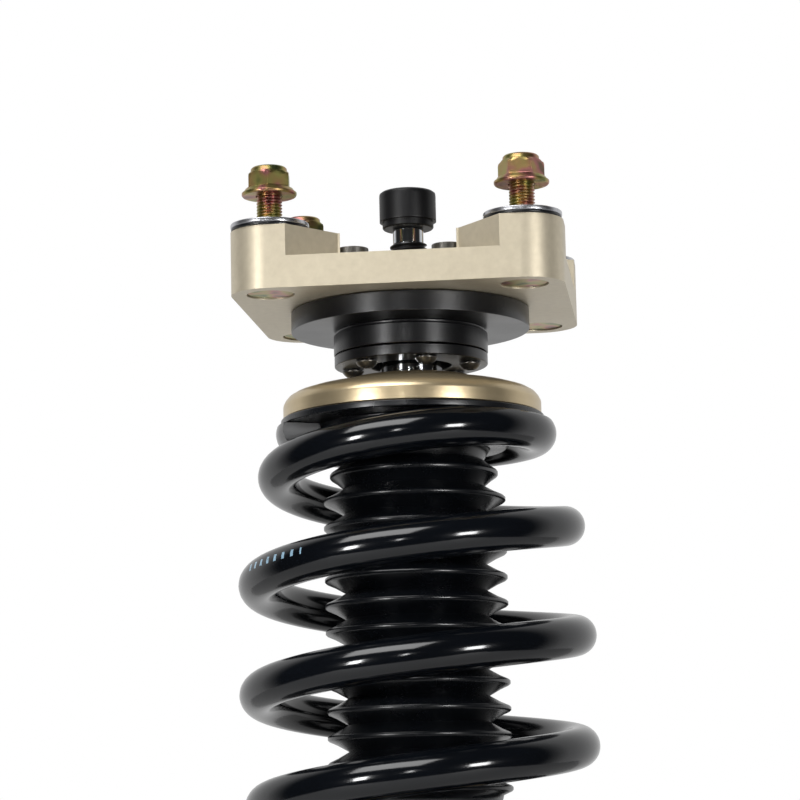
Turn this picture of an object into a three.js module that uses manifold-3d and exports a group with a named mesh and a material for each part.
// Coilover: a spring round a gas damper, hung from a machined top mount that bolts to the strut tower.
// Millimetres, +Z up. Heights in the constants are measured from the underside of the mount block,
// and the whole assembly is lowered at the end so that the origin lies in the plane of the boss tops.

import * as THREE from 'three';
import { mergeVertices } from 'three/addons/utils/BufferGeometryUtils.js';
import Module from 'manifold-3d';

const wasm = await Module();
wasm.setup();

// ---- Clearances and facets
const GAP = 0.3;             // between neighbouring pieces that touch or run in each other
const SIDES = 24;            // facets round a large turned piece
const SMALL_SIDES = 12;      // facets round a fastener
const FINE_SIDES = 48;       // facets round the block's pocket and bores

// ---- Mount block
const BLOCK_X = 104;
const BLOCK_Y = 97;
const BLOCK_CORNER = 13;
const PLATE = 10;            // floor of the block, between the corner bosses
const BOSS_TOP = 20;
const POCKET_R = 36;
const FRONT_CUT = { mouth: 33, neck: 19, depth: BLOCK_Y / 2 - 31 };
const SIDE_CUT = { mouth: 26, neck: 15, depth: BLOCK_X / 2 - 32 };
const BLOCK_BORE_R = 15;

// ---- Studs, washers and flange nuts
const STUD_X = BLOCK_X / 2 - 12.5;
const STUD_Y = BLOCK_Y / 2 - 11.5;
const STUD_R = 4;
const STUD_HEAD_R = 7.2;
const STUD_HEAD_T = 1.6;
const WASHER_R = 12.25;
const WASHER_T = 2;
const NUT_LIFT = 9;          // bare thread between washer and nut, where the tower panel goes
const NUT_FLANGE_R = 8.6;
const NUT_FLANGE_T = 1.8;
const NUT_FLATS = 12.5;
const NUT_T = 9.2;
const NUT_CROWN_T = 1.8;      // the round crown above the hexagon
const STUD_SINK = 1;          // the stud ends this far below the top of its nut

// ---- Bearing carrier under the block
const CARRIER_R = 38.3;
const CARRIER_T = 6.7;
const GROOVE_T = 1.1;
const GROOVE_DEPTH = 1.2;
const HOUSING_R = 24.75;
const HOUSING_BOTTOM = -14.3;
const CARRIER_LIP_R = 13.5;
const CARRIER_LIP_T = 2;
const CARRIER_SCREW = { count: 6, circle: 30, r: 3, headR: 5, headT: 5.5, depth: 4.5 };

// ---- Spherical bearing, its retainer ring and screws
const BALL_R = 12.6;
const BALL_HALF = 8.5;
const BALL_Z = -8.3;
const RACE_R = 15.5;
const RACE_HALF = 5.7;
const RETAINER_R = 24.6;
const RETAINER_BORE_R = 13;
const RETAINER_T = 3.4;
const RETAINER_SCREW = { count: 6, circle: 19.5, first: -10, r: 2, headR: 3.5, headT: 2, depth: 4.5 };

// ---- Shaft, sleeve and nut
const SHAFT_NECK_R = 6;      // the threaded ends, through the bearing and the piston
const SHAFT_R = SHAFT_NECK_R + 1;
const SHAFT_TOP = 21.7;
const SHAFT_NUT_FLATS = 2 * SHAFT_NECK_R + 7;
const SHAFT_NUT_T = 8;
const SLEEVE_R = 10;

// ---- Damping adjuster
const KNOB_R = 9.15;
const KNOB_TOP = 39.2;
const KNOB_BOTTOM = 27;
const KNOB_SKIRT_R = 8.25;
const KNOB_SKIRT_T = 2.3;
const ROD_R = 1.8;
const ROD_NECK_R = 5;
const ROD_NECK_T = KNOB_BOTTOM - SHAFT_TOP - 2 * GAP;

// ---- Upper spring seat and isolator
const SEAT_TOP = -22.3;
const SEAT_HUB_R = 19;
const SEAT_R = 41.3;
const SEAT_RIM_T = 3.8;
const SEAT_BOTTOM = -34.8;
const SEAT_RECESS_R = 33;
const SEAT_WEB_T = 7.7;
const ISOLATOR_R = 42.1;
const ISOLATOR_T = 2;
const SPIGOT_PLAY = 0.85;    // between a spigot and the inside of the end coils
const SPIGOT_T = 8.4;
const ISOLATOR_BORE_R = 24.5;

// ---- Barrel spring
const WIRE_R = 6.35;
const SPRING_TOP = SEAT_BOTTOM - GAP - ISOLATOR_T;
const SPRING_LENGTH = 160;
const SPRING_BOTTOM = SPRING_TOP - SPRING_LENGTH;
const SPRING_END_R = 37.4;   // centreline radius of the closed end coils
const SPRING_BARREL_R = 50.2;
const SPRING_TURNS = 5.8;
const SPRING_DEAD_TURN = 0.56;   // the closed stretch of each end coil
const SPRING_RAMP_TURN = 0.3;    // the stretch over which the pitch opens
const SPRING_SWELL_TURN = 2.2;   // from an end to the full width of the barrel
const SPRING_DEAD_DROP = 2 * WIRE_R - 10.9;
const SPRING_START = 207;        // degrees, where the wire's upper tip lies
const SPRING_GRIND = 4.4;     // wire ground away to give each end a flat
const SPRING_WIRE_SIDES = 8;
const SPIGOT_R = SPRING_END_R - WIRE_R - SPIGOT_PLAY;
const SPRING_STEPS_PER_TURN = 20;

// ---- Dust boot
const BOOT_TIP_R = 29;
const BOOT_VALLEY_R = 22.3;
const BOOT_FOLDS = 13;
const BOOT_PLAIN = 60.4;     // stretch of the spring's length with no folds beside it
const BOOT_PITCH = (SPRING_LENGTH - BOOT_PLAIN) / (BOOT_FOLDS - 1);
const BOOT_WALL = 1.3;
const BOOT_CUFF_T = 7.5;
const BOOT_CUFF_WALL = 1.7;
const BOOT_NECK_T = 4.5;      // from the cuff's top to the last fold

// ---- Bump stop
const BUMP_R = 17;
const BUMP_WAIST_R = 13;
const BUMP_LENGTH = 46;
const BUMP_TOP = -46;

// ---- Damper body and what runs in it
const BODY_R = 24;
const BODY_WALL = 3;
const BODY_BORE_R = BODY_R - BODY_WALL;
const BODY_TOP = SPRING_BOTTOM + 36.8;
const BODY_BOTTOM = BODY_TOP - 202.4;
const GLAND_FLANGE_T = 2;
const GLAND_T = 12;
const PISTON_TOP = BODY_TOP - 39.7;
const PISTON_T = 14;
const PISTON_NUT_FLATS = 2 * SHAFT_NECK_R + 6;
const PISTON_NUT_T = 7;
const FLOATER_TOP = BODY_TOP - 149.7;
const FLOATER_CUP = 4;        // depth and wall of the hollow in its top
const FLOATER_T = 14;
const PLUG_T = 13;

// ---- Spring perch and the two lock rings
const PERCH_R = 42;
const PERCH_FLANGE_T = 5;
const PERCH_HUB_R = BODY_R + 7;
const PERCH_HUB_T = 13;
const RING_R = BODY_R + 8;
const RING_T = 10;
const NOTCH = { count: 6, width: 8, depth: 3.5 };

// ---- Lower mount, rubber bush and steel sleeve
const SOCKET_R = BODY_R + 5;
const SOCKET_DEPTH = 50;
const SOCKET_FLOOR_T = 6;
const EYE_R = 20;
const EYE_WIDTH = 34;
const EYE_DROP = 24;         // eye centre below the socket's inside floor
const BUSH_R = 15.5;
const EYE_SLEEVE_R = 11;
const EYE_SLEEVE_BORE_R = 6.1;
const EYE_SLEEVE_LENGTH = 42;

const degrees = Math.PI / 180;

// ---- Finishes
function finish(colour, roughness, metalness) {
  return new THREE.MeshStandardMaterial({ color: colour, roughness, metalness });
}

const champagne = finish(0xc9b48a, 0.38, 0.9);
const blackAnodised = finish(0x101114, 0.35, 0.6);
const blackPaint = finish(0x050608, 0.15, 0.0);
const blackRubber = finish(0x0b0c0f, 0.45, 0.0);
const blackOxide = finish(0x2a2b2d, 0.45, 0.8);
const yellowZinc = finish(0xb49a4a, 0.3, 0.95);
const brightZinc = finish(0xb9bcc0, 0.25, 1.0);
const chrome = finish(0xdadde0, 0.08, 1.0);
const bearingSteel = finish(0x9da0a4, 0.2, 1.0);
const bumpFoam = finish(0xcdbb62, 0.8, 0.0);

// ---- Solids
function toSolid(geometry) {
  const bare = geometry.index ? geometry.toNonIndexed() : geometry.clone();
  bare.deleteAttribute('normal');
  bare.deleteAttribute('uv');
  const merged = mergeVertices(bare, 1e-4);
  const corners = merged.attributes.position.array;
  const faces = [];
  for (let i = 0; i < merged.index.count; i += 3) {
    const [a, b, c] = [0, 1, 2].map((k) => merged.index.getX(i + k));
    if (a !== b && b !== c && c !== a) faces.push(a, b, c);
  }
  if (enclosedVolume(corners, faces) < 0) faces.reverse();
  return new wasm.Manifold(new wasm.Mesh({
    numProp: 3,
    vertProperties: new Float32Array(corners),
    triVerts: new Uint32Array(faces),
  }));
}

function enclosedVolume(corners, faces) {
  const at = (i) => new THREE.Vector3().fromArray(corners, 3 * i);
  let sum = 0;
  for (let i = 0; i < faces.length; i += 3) {
    sum += at(faces[i]).dot(at(faces[i + 1]).cross(at(faces[i + 2])));
  }
  return sum / 6;
}

function toGeometry(solid) {
  const result = solid.getMesh();
  const geometry = new THREE.BufferGeometry();
  geometry.setAttribute('position', new THREE.BufferAttribute(result.vertProperties, 3));
  geometry.setIndex(new THREE.BufferAttribute(result.triVerts, 1));
  return geometry;
}

// A closed [radius, height] outline turned about the Z axis.
function turned(outline, sides = SIDES) {
  const touchesAxis = outline[0][0] === 0;
  const points = outline.map(([r, z]) => new THREE.Vector2(r, z));
  if (!touchesAxis) points.push(points[0].clone());
  return toSolid(new THREE.LatheGeometry(points, sides).rotateX(Math.PI / 2));
}

function rod(radius, bottom, top, sides = SMALL_SIDES) {
  const height = top - bottom;
  const geometry = new THREE.CylinderGeometry(radius, radius, height, sides).rotateX(Math.PI / 2);
  return toSolid(geometry.translate(0, 0, (top + bottom) / 2));
}

function ring(inner, outer, bottom, top, sides = SIDES) {
  return turned([[inner, bottom], [outer, bottom], [outer, top], [inner, top]], sides);
}

function hexagon(flats, bottom, top) {
  return rod(flats / Math.sqrt(3), bottom, top, 6);
}

function box(width, depth, bottom, top) {
  const geometry = new THREE.BoxGeometry(width, depth, top - bottom);
  return toSolid(geometry.translate(0, 0, (top + bottom) / 2));
}

function extruded(shape, bottom, top, curveSegments = 10) {
  const geometry = new THREE.ExtrudeGeometry(shape, {
    depth: top - bottom, bevelEnabled: false, curveSegments,
  });
  return toSolid(geometry.translate(0, 0, bottom));
}

// Moves a solid that was made round the Z axis so that it lies round the Y axis at a height.
function layAlongY(solid, height) {
  return solid.rotate([90, 0, 0]).translate([0, 0, height]);
}

function pointsOnCircle({ count, circle, first = 0 }) {
  return Array.from({ length: count }, (_, i) => {
    const angle = (first + (360 * i) / count) * degrees;
    return [circle * Math.cos(angle), circle * Math.sin(angle)];
  });
}

// Cuts the slots that a hook spanner grips into the outside of a ring.
function notched(solid, outerR, bottom, top) {
  let result = solid;
  for (let i = 0; i < NOTCH.count; i += 1) {
    const cutter = box(2 * NOTCH.depth, NOTCH.width, bottom - 1, top + 1)
      .translate([outerR, 0, 0])
      .rotate([0, 0, (360 * i) / NOTCH.count]);
    result = result.subtract(cutter);
  }
  return result;
}

// ---- The assembly
const coilover = new THREE.Group();
coilover.position.z = -BOSS_TOP;

function addPiece(name, solid, material, x = 0, y = 0) {
  const mesh = new THREE.Mesh(toGeometry(solid), material);
  mesh.name = name;
  mesh.position.set(x, y, 0);
  coilover.add(mesh);
}

const studPlaces = [[-1, -1], [1, -1], [1, 1], [-1, 1]].map(([i, j]) => [i * STUD_X, j * STUD_Y]);
const carrierScrewPlaces = pointsOnCircle(CARRIER_SCREW);
const retainerScrewPlaces = pointsOnCircle(RETAINER_SCREW);

// ---- Mount block: a plate with a raised boss at each corner
function roundedRectangle(width, depth, radius) {
  const [x, y] = [width / 2, depth / 2];
  const shape = new THREE.Shape();
  shape.moveTo(-x + radius, -y);
  shape.lineTo(x - radius, -y);
  shape.absarc(x - radius, -y + radius, radius, -Math.PI / 2, 0);
  shape.lineTo(x, y - radius);
  shape.absarc(x - radius, y - radius, radius, 0, Math.PI / 2);
  shape.lineTo(-x + radius, y);
  shape.absarc(-x + radius, y - radius, radius, Math.PI / 2, Math.PI);
  shape.lineTo(-x, -y + radius);
  shape.absarc(-x + radius, -y + radius, radius, Math.PI, 1.5 * Math.PI);
  return shape;
}

// The slot between two bosses: wide at the block's side, narrower where it meets the round pocket.
function sideSlot({ mouth, neck, depth }, edge) {
  const shape = new THREE.Shape();
  shape.moveTo(-mouth, -edge - 1);
  shape.lineTo(mouth, -edge - 1);
  shape.lineTo(mouth, -edge);
  shape.lineTo(neck, -edge + depth);
  shape.lineTo(-neck, -edge + depth);
  shape.lineTo(-mouth, -edge);
  return extruded(shape, PLATE, BOSS_TOP + 1);
}

const counterboreT = STUD_HEAD_T + 0.7;
const plateThroughR = CARRIER_SCREW.r + GAP;

function makeBlock() {
  let block = extruded(roundedRectangle(BLOCK_X, BLOCK_Y, BLOCK_CORNER), 0, BOSS_TOP);
  block = block.subtract(rod(POCKET_R, PLATE, BOSS_TOP + 1, FINE_SIDES));
  block = block.subtract(rod(BLOCK_BORE_R, -1, PLATE + 1, FINE_SIDES));
  const front = sideSlot(FRONT_CUT, BLOCK_Y / 2);
  const side = sideSlot(SIDE_CUT, BLOCK_X / 2);
  for (const turn of [0, 180]) {
    block = block.subtract(front.rotate([0, 0, turn]));
    block = block.subtract(side.rotate([0, 0, turn + 90]));
  }
  for (const [x, y] of studPlaces) {
    const hole = rod(STUD_R + GAP, -1, BOSS_TOP + 1, SIDES)
      .add(rod(STUD_HEAD_R + GAP, -1, counterboreT, FINE_SIDES));
    block = block.subtract(hole.translate([x, y, 0]));
  }
  for (const [x, y] of carrierScrewPlaces) {
    block = block.subtract(rod(plateThroughR, -1, PLATE + 1).translate([x, y, 0]));
  }
  return block;
}

addPiece('mount_block', makeBlock(), champagne);

// ---- Studs with their washers and flange nuts
const washerBottom = BOSS_TOP + GAP;
const washerTop = washerBottom + WASHER_T;
const nutBottom = washerTop + NUT_LIFT;
const nutTop = nutBottom + NUT_T;

function makeStud() {
  const headTop = counterboreT - GAP;
  const head = rod(STUD_HEAD_R, headTop - STUD_HEAD_T, headTop);
  return head.add(rod(STUD_R, headTop - STUD_HEAD_T, nutTop - STUD_SINK));
}

function makeFlangeNut() {
  const flangeTop = nutBottom + NUT_FLANGE_T;
  const crownBottom = nutTop - NUT_CROWN_T;
  const body = rod(NUT_FLANGE_R, nutBottom, flangeTop)
    .add(hexagon(NUT_FLATS, nutBottom, crownBottom))
    .add(rod(NUT_FLATS / 2 - 0.4, nutBottom, nutTop));
  return body.subtract(rod(STUD_R + GAP, nutBottom - 1, nutTop + 1));
}

studPlaces.forEach(([x, y], i) => {
  const washer = ring(STUD_R + GAP, WASHER_R, washerBottom, washerTop, SMALL_SIDES);
  addPiece(`mount_stud_${i + 1}`, makeStud(), yellowZinc, x, y);
  addPiece(`stud_washer_${i + 1}`, washer, brightZinc, x, y);
  addPiece(`flange_nut_${i + 1}`, makeFlangeNut(), yellowZinc, x, y);
});

// ---- Bearing carrier: a flange against the block with the bearing housing below it
const raceTop = BALL_Z + RACE_HALF;
const raceBottom = BALL_Z - RACE_HALF;

function makeCarrier() {
  const grooveTop = -CARRIER_T;
  const grooveBottom = grooveTop - GROOVE_T;
  const lipBottom = raceTop + GAP;
  let carrier = turned([
    [CARRIER_LIP_R, -GAP], [CARRIER_R, -GAP], [CARRIER_R, grooveTop],
    [HOUSING_R - GROOVE_DEPTH, grooveTop], [HOUSING_R - GROOVE_DEPTH, grooveBottom],
    [HOUSING_R, grooveBottom], [HOUSING_R, HOUSING_BOTTOM],
    [RACE_R + GAP, HOUSING_BOTTOM], [RACE_R + GAP, lipBottom], [CARRIER_LIP_R, lipBottom],
  ]);
  for (const [x, y] of carrierScrewPlaces) {
    const hole = rod(plateThroughR, -CARRIER_SCREW.depth - GAP, 1).translate([x, y, 0]);
    carrier = carrier.subtract(hole);
  }
  const threadR = RETAINER_SCREW.r + GAP;
  const threadTop = HOUSING_BOTTOM + RETAINER_SCREW.depth + GAP;
  for (const [x, y] of retainerScrewPlaces) {
    carrier = carrier.subtract(rod(threadR, HOUSING_BOTTOM - 1, threadTop, 8).translate([x, y, 0]));
  }
  return carrier;
}

addPiece('bearing_carrier', makeCarrier(), blackAnodised);

carrierScrewPlaces.forEach(([x, y], i) => {
  const headBottom = PLATE + GAP;
  const screw = rod(CARRIER_SCREW.headR, headBottom, headBottom + CARRIER_SCREW.headT)
    .add(rod(CARRIER_SCREW.r, -CARRIER_SCREW.depth, headBottom + 1));
  addPiece(`carrier_screw_${i + 1}`, screw, blackOxide, x, y);
});

// ---- Spherical bearing
const raceInnerR = BALL_R + 0.4;
const ballArc = 6;

function sphereOutline(radius, halfWidth) {
  const limit = Math.asin(halfWidth / radius);
  return Array.from({ length: ballArc + 1 }, (_, i) => {
    const angle = limit * (1 - (2 * i) / ballArc);
    return [radius * Math.cos(angle), BALL_Z + radius * Math.sin(angle)];
  });
}

const ballBoreR = SHAFT_NECK_R + GAP;
const ballTop = BALL_Z + BALL_HALF;
const ballBottom = BALL_Z - BALL_HALF;
const raceOutline = [
  [RACE_R, raceBottom], [RACE_R, raceTop], ...sphereOutline(raceInnerR, RACE_HALF),
];
const ballOutline = [
  [ballBoreR, ballTop], ...sphereOutline(BALL_R, BALL_HALF), [ballBoreR, ballBottom],
];
addPiece('bearing_race', turned(raceOutline), bearingSteel);
addPiece('bearing_ball', turned(ballOutline), bearingSteel);

// ---- Retainer ring and its button-head screws
const retainerTop = HOUSING_BOTTOM - GAP;
const retainerBottom = retainerTop - RETAINER_T;

function makeRetainer() {
  let retainer = ring(RETAINER_BORE_R, RETAINER_R, retainerBottom, retainerTop);
  for (const [x, y] of retainerScrewPlaces) {
    const hole = rod(RETAINER_SCREW.r + GAP, retainerBottom - 1, retainerTop + 1, 8);
    retainer = retainer.subtract(hole.translate([x, y, 0]));
  }
  return retainer;
}

addPiece('bearing_retainer', makeRetainer(), blackAnodised);

retainerScrewPlaces.forEach(([x, y], i) => {
  const headTop = retainerBottom - GAP;
  const screw = rod(RETAINER_SCREW.headR, headTop - RETAINER_SCREW.headT, headTop, 12)
    .add(rod(RETAINER_SCREW.r, headTop - 1, HOUSING_BOTTOM + RETAINER_SCREW.depth, 8));
  addPiece(`retainer_screw_${i + 1}`, screw, blackOxide, x, y);
});

// ---- Shaft: threaded necks at both ends, bored through for the adjuster rod
const shaftShoulder = SEAT_TOP - SEAT_WEB_T - GAP;
const pistonBottom = PISTON_TOP - PISTON_T;
const pistonNutBottom = pistonBottom - GAP - PISTON_NUT_T;
const shaftBottom = pistonNutBottom - 1.5;
const shaftBoreR = ROD_R + GAP;

addPiece('damper_shaft', turned([
  [shaftBoreR, SHAFT_TOP], [SHAFT_NECK_R, SHAFT_TOP], [SHAFT_NECK_R, shaftShoulder],
  [SHAFT_R, shaftShoulder], [SHAFT_R, PISTON_TOP + GAP], [SHAFT_NECK_R, PISTON_TOP + GAP],
  [SHAFT_NECK_R, shaftBottom], [shaftBoreR, shaftBottom],
], SIDES), chrome);

const sleeveTop = ballBottom - GAP;
addPiece('spacer_sleeve', ring(ballBoreR, SLEEVE_R, SEAT_TOP + GAP, sleeveTop, 24), chrome);

const shaftNut = hexagon(SHAFT_NUT_FLATS, ballTop + GAP, ballTop + GAP + SHAFT_NUT_T)
  .subtract(rod(ballBoreR, ballTop - 1, ballTop + SHAFT_NUT_T + 2, SIDES));
addPiece('shaft_nut', shaftNut, blackOxide);

// ---- Damping adjuster: a knob on a rod that runs down the shaft
const rodShoulder = SHAFT_TOP + GAP;
const knobPressTop = rodShoulder + ROD_NECK_T;

addPiece('adjuster_rod', turned([
  [0, knobPressTop], [ROD_NECK_R, knobPressTop], [ROD_NECK_R, rodShoulder],
  [ROD_R, rodShoulder], [ROD_R, shaftBottom + 2], [0, shaftBottom + 2],
], 12), chrome);

const knobSkirtTop = KNOB_BOTTOM + KNOB_SKIRT_T;
addPiece('adjuster_knob', turned([
  [0, KNOB_BOTTOM], [KNOB_SKIRT_R, KNOB_BOTTOM], [KNOB_SKIRT_R, knobSkirtTop],
  [KNOB_R, knobSkirtTop], [KNOB_R, KNOB_TOP - 0.8], [KNOB_R - 0.8, KNOB_TOP], [0, KNOB_TOP],
]), blackAnodised);

// ---- Upper spring seat and the isolator under it
const seatWebBottom = SEAT_TOP - SEAT_WEB_T;

addPiece('spring_seat', turned([
  [ballBoreR, SEAT_TOP], [SEAT_HUB_R, SEAT_TOP],
  [SEAT_HUB_R + 4.6, SEAT_TOP - 1.3], [SEAT_HUB_R + 7, SEAT_TOP - 2.5],
  [SEAT_R - 6.9, SEAT_TOP - 3.6], [SEAT_R - 3.4, SEAT_TOP - 4.7],
  [SEAT_R - 0.8, SEAT_TOP - 6.7], [SEAT_R, SEAT_BOTTOM + SEAT_RIM_T],
  [SEAT_R, SEAT_BOTTOM], [SEAT_RECESS_R, SEAT_BOTTOM],
  [SEAT_RECESS_R, seatWebBottom], [ballBoreR, seatWebBottom],
]), champagne);

const isolatorTop = SEAT_BOTTOM - GAP;
const spigotBottom = SPRING_TOP - SPIGOT_T;
const isolatorLipTop = seatWebBottom - GAP;

addPiece('seat_isolator', turned([
  [ISOLATOR_BORE_R, isolatorLipTop], [SEAT_RECESS_R - GAP, isolatorLipTop],
  [SEAT_RECESS_R - GAP, isolatorTop], [ISOLATOR_R, isolatorTop],
  [ISOLATOR_R, SPRING_TOP], [SPIGOT_R, SPRING_TOP],
  [SPIGOT_R, spigotBottom], [ISOLATOR_BORE_R, spigotBottom],
]), blackRubber);

// ---- Barrel spring: closed and ground end coils, larger in the middle

// Turns of open pitch passed since an end, with the pitch opening gently.
function openTurns(turn) {
  const past = Math.max(0, turn - SPRING_DEAD_TURN);
  return past < SPRING_RAMP_TURN ? past ** 2 / (2 * SPRING_RAMP_TURN) : past - SPRING_RAMP_TURN / 2;
}

class SpringCurve extends THREE.Curve {
  getPoint(t, target = new THREE.Vector3()) {
    const turn = t * SPRING_TURNS;
    const toEnd = SPRING_TURNS - turn;
    const top = SPRING_TOP - GAP - WIRE_R + SPRING_GRIND;
    const bottom = SPRING_BOTTOM + GAP + WIRE_R - SPRING_GRIND;
    const allOpen = SPRING_TURNS - 2 * SPRING_DEAD_TURN - SPRING_RAMP_TURN;
    const open = turn < toEnd ? openTurns(turn) : allOpen - openTurns(toEnd);
    const dead = Math.min(1, turn / SPRING_DEAD_TURN) + 1 - Math.min(1, toEnd / SPRING_DEAD_TURN);
    const openDrop = top - bottom - 2 * SPRING_DEAD_DROP;
    const z = top - SPRING_DEAD_DROP * dead - (openDrop * open) / allOpen;
    const swell = THREE.MathUtils.smoothstep(Math.min(turn, toEnd), 0, SPRING_SWELL_TURN);
    const radius = SPRING_END_R + (SPRING_BARREL_R - SPRING_END_R) * swell;
    const angle = (SPRING_START - 360 * turn) * degrees;
    return target.set(radius * Math.cos(angle), radius * Math.sin(angle), z);
  }
}

function makeSpring() {
  const section = new THREE.Shape();
  for (let i = 0; i < SPRING_WIRE_SIDES; i += 1) {
    const angle = (360 * i) / SPRING_WIRE_SIDES * degrees;
    const corner = [WIRE_R * Math.cos(angle), WIRE_R * Math.sin(angle)];
    if (i === 0) section.moveTo(...corner);
    else section.lineTo(...corner);
  }
  section.closePath();
  const wire = toSolid(new THREE.ExtrudeGeometry(section, {
    extrudePath: new SpringCurve(),
    steps: Math.round(SPRING_TURNS * SPRING_STEPS_PER_TURN),
    bevelEnabled: false,
  }));
  const reach = 2 * (SPRING_BARREL_R + 2 * WIRE_R);
  return wire.intersect(box(reach, reach, SPRING_BOTTOM + GAP, SPRING_TOP - GAP));
}

addPiece('coil_spring', makeSpring(), blackPaint);

// ---- Dust boot: a bellows from the isolator's bore down over the top of the body
const glandTop = BODY_TOP + GAP + GLAND_FLANGE_T;
const bootTop = isolatorLipTop - GAP;
const bootCollarR = ISOLATOR_BORE_R - GAP;
const bootBoreR = BOOT_VALLEY_R - BOOT_WALL;
const cuffTop = glandTop + 2 * GAP;
const cuffR = BODY_R + GAP + BOOT_CUFF_WALL;

function makeBoot() {
  const outline = [[bootBoreR, bootTop], [bootCollarR, bootTop]];
  const firstFold = cuffTop + BOOT_NECK_T + BOOT_PITCH * (BOOT_FOLDS - 1);
  outline.push([bootCollarR, Math.max(spigotBottom - 1, firstFold + 4)]);
  for (let i = 0; i < BOOT_FOLDS; i += 1) {
    const z = firstFold - i * BOOT_PITCH;
    outline.push([BOOT_VALLEY_R, z + BOOT_PITCH / 2], [BOOT_TIP_R, z]);
  }
  outline.push(
    [cuffR, cuffTop], [cuffR, cuffTop - BOOT_CUFF_T],
    [BODY_R + GAP, cuffTop - BOOT_CUFF_T], [BODY_R + GAP, cuffTop - GAP], [bootBoreR, cuffTop - GAP],
  );
  return turned(outline);
}

addPiece('dust_boot', makeBoot(), blackRubber);

// ---- Bump stop on the shaft
const bumpBottom = BUMP_TOP - BUMP_LENGTH;
const shaftClearR = SHAFT_R + GAP;
addPiece('bump_stop', turned([
  [shaftClearR, BUMP_TOP], [BUMP_R, BUMP_TOP], [BUMP_R, BUMP_TOP - BUMP_LENGTH * 0.3],
  [BUMP_WAIST_R, BUMP_TOP - BUMP_LENGTH * 0.42], [BUMP_R - 1, BUMP_TOP - BUMP_LENGTH * 0.55],
  [BUMP_R - 1, BUMP_TOP - BUMP_LENGTH * 0.68], [BUMP_WAIST_R - 1, BUMP_TOP - BUMP_LENGTH * 0.8],
  [BUMP_WAIST_R - 2, bumpBottom], [shaftClearR, bumpBottom],
], 24), bumpFoam);

// ---- Damper body, gland, pistons and bottom plug
const boreFitR = BODY_BORE_R - GAP;

addPiece('damper_body', ring(BODY_BORE_R, BODY_R, BODY_BOTTOM, BODY_TOP), blackAnodised);
addPiece('gland_cap', turned([
  [shaftClearR, glandTop], [BODY_R, glandTop], [BODY_R, BODY_TOP + GAP],
  [boreFitR, BODY_TOP + GAP], [boreFitR, BODY_TOP - GLAND_T], [shaftClearR, BODY_TOP - GLAND_T],
]), blackAnodised);
addPiece('main_piston', ring(ballBoreR, boreFitR, pistonBottom, PISTON_TOP), bearingSteel);
addPiece('piston_nut', hexagon(PISTON_NUT_FLATS, pistonNutBottom, pistonBottom - GAP)
  .subtract(rod(ballBoreR, pistonNutBottom - 1, pistonBottom, SIDES)), blackOxide);
addPiece('floating_piston', turned([
  [0, FLOATER_TOP - FLOATER_CUP], [boreFitR - FLOATER_CUP, FLOATER_TOP - FLOATER_CUP],
  [boreFitR - FLOATER_CUP, FLOATER_TOP],
  [boreFitR, FLOATER_TOP], [boreFitR, FLOATER_TOP - FLOATER_T], [0, FLOATER_TOP - FLOATER_T],
]), bearingSteel);
addPiece('bottom_plug', rod(boreFitR, BODY_BOTTOM + 1, BODY_BOTTOM + 1 + PLUG_T, SIDES), bearingSteel);

// ---- Spring perch with its lock ring
const perchTop = SPRING_BOTTOM;
const perchFlangeBottom = perchTop - PERCH_FLANGE_T;
const perchBottom = perchFlangeBottom - PERCH_HUB_T;
const threadBoreR = BODY_R + GAP;

const perch = turned([
  [threadBoreR, perchTop + SPIGOT_T], [SPIGOT_R, perchTop + SPIGOT_T], [SPIGOT_R, perchTop],
  [PERCH_R, perchTop], [PERCH_R, perchFlangeBottom], [PERCH_HUB_R + 2, perchFlangeBottom - 2],
  [PERCH_HUB_R, perchBottom], [threadBoreR, perchBottom],
]);
addPiece('spring_perch', notched(perch, PERCH_HUB_R + 1, perchBottom - 1, perchFlangeBottom - 5), champagne);

function lockRing(top) {
  return notched(ring(threadBoreR, RING_R, top - RING_T, top), RING_R, top - RING_T, top);
}

addPiece('perch_lock_ring', lockRing(perchBottom - GAP), champagne);

// ---- Lower mount: a threaded socket with an eye for the suspension arm
const socketFloor = BODY_BOTTOM - GAP;
const socketTop = socketFloor + SOCKET_DEPTH;
const eyeZ = socketFloor - EYE_DROP;

function makeLowerMount() {
  const base = socketFloor - SOCKET_FLOOR_T;
  const socket = turned([
    [0, socketFloor], [threadBoreR, socketFloor], [threadBoreR, socketTop], [SOCKET_R, socketTop],
    [SOCKET_R, base + 4], [SOCKET_R - 4, base], [0, base],
  ]);
  const web = box(2 * EYE_R - 4, EYE_WIDTH - 2, eyeZ, base + 1);
  const eye = layAlongY(rod(EYE_R, -EYE_WIDTH / 2, EYE_WIDTH / 2, SIDES), eyeZ);
  const bore = layAlongY(rod(BUSH_R + GAP, -EYE_WIDTH, EYE_WIDTH, SIDES), eyeZ);
  return socket.add(web).add(eye).subtract(bore);
}

addPiece('lower_mount', makeLowerMount(), blackAnodised);
addPiece('body_lock_ring', lockRing(socketTop + GAP + RING_T), champagne);

const bush = ring(EYE_SLEEVE_R + GAP, BUSH_R, -EYE_WIDTH / 2, EYE_WIDTH / 2);
addPiece('eye_bush', layAlongY(bush, eyeZ), blackRubber);
const eyeSleeve = ring(EYE_SLEEVE_BORE_R, EYE_SLEEVE_R, -EYE_SLEEVE_LENGTH / 2, EYE_SLEEVE_LENGTH / 2);
addPiece('eye_sleeve', layAlongY(eyeSleeve, eyeZ), brightZinc);

export default coilover;
